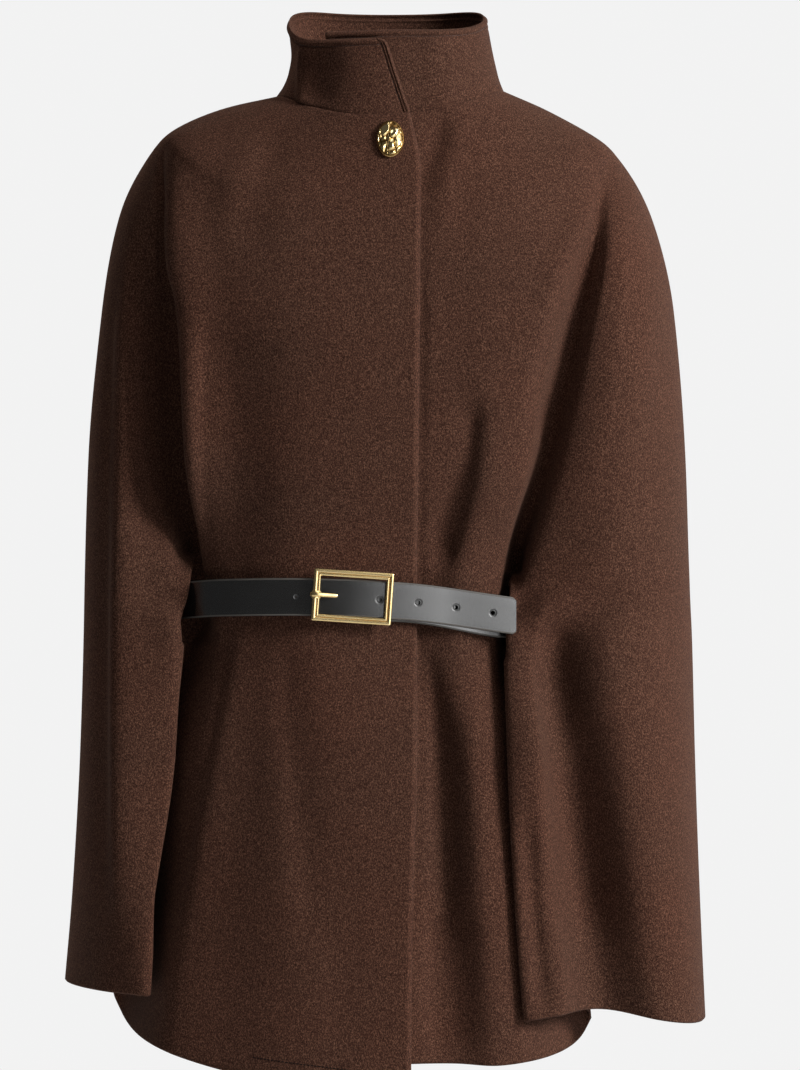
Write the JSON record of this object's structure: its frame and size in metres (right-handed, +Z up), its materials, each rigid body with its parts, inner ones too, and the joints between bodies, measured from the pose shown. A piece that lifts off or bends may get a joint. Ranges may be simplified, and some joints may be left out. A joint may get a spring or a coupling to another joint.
{
  "type": "belted cape coat",
  "caption": "Hip-length cape coat in heavy wool, draped over the arms, with a stand collar, a lapped front, a metal button and a leather belt through slits.",
  "frame": {"origin": "midway between the two side neck points, at the level of the neck seam on the shoulders", "axes": "+Z up, -Y out of the coat's front, +X to the coat's own left side"},
  "size_m": [0.576, 0.3358, 0.9496],
  "materials": {
    "wool": "napped dark brown wool",
    "leather": "smooth black, half gloss",
    "gold": "polished pale gold"
  },
  "bodies": {
    "root": {"right_front": "wool", "left_front": "wool", "back": "wool", "collar": "wool", "belt_strap": "leather", "buckle_frame": "gold", "buckle_prong": "gold", "button": "gold"}
  },
  "joints": []
}
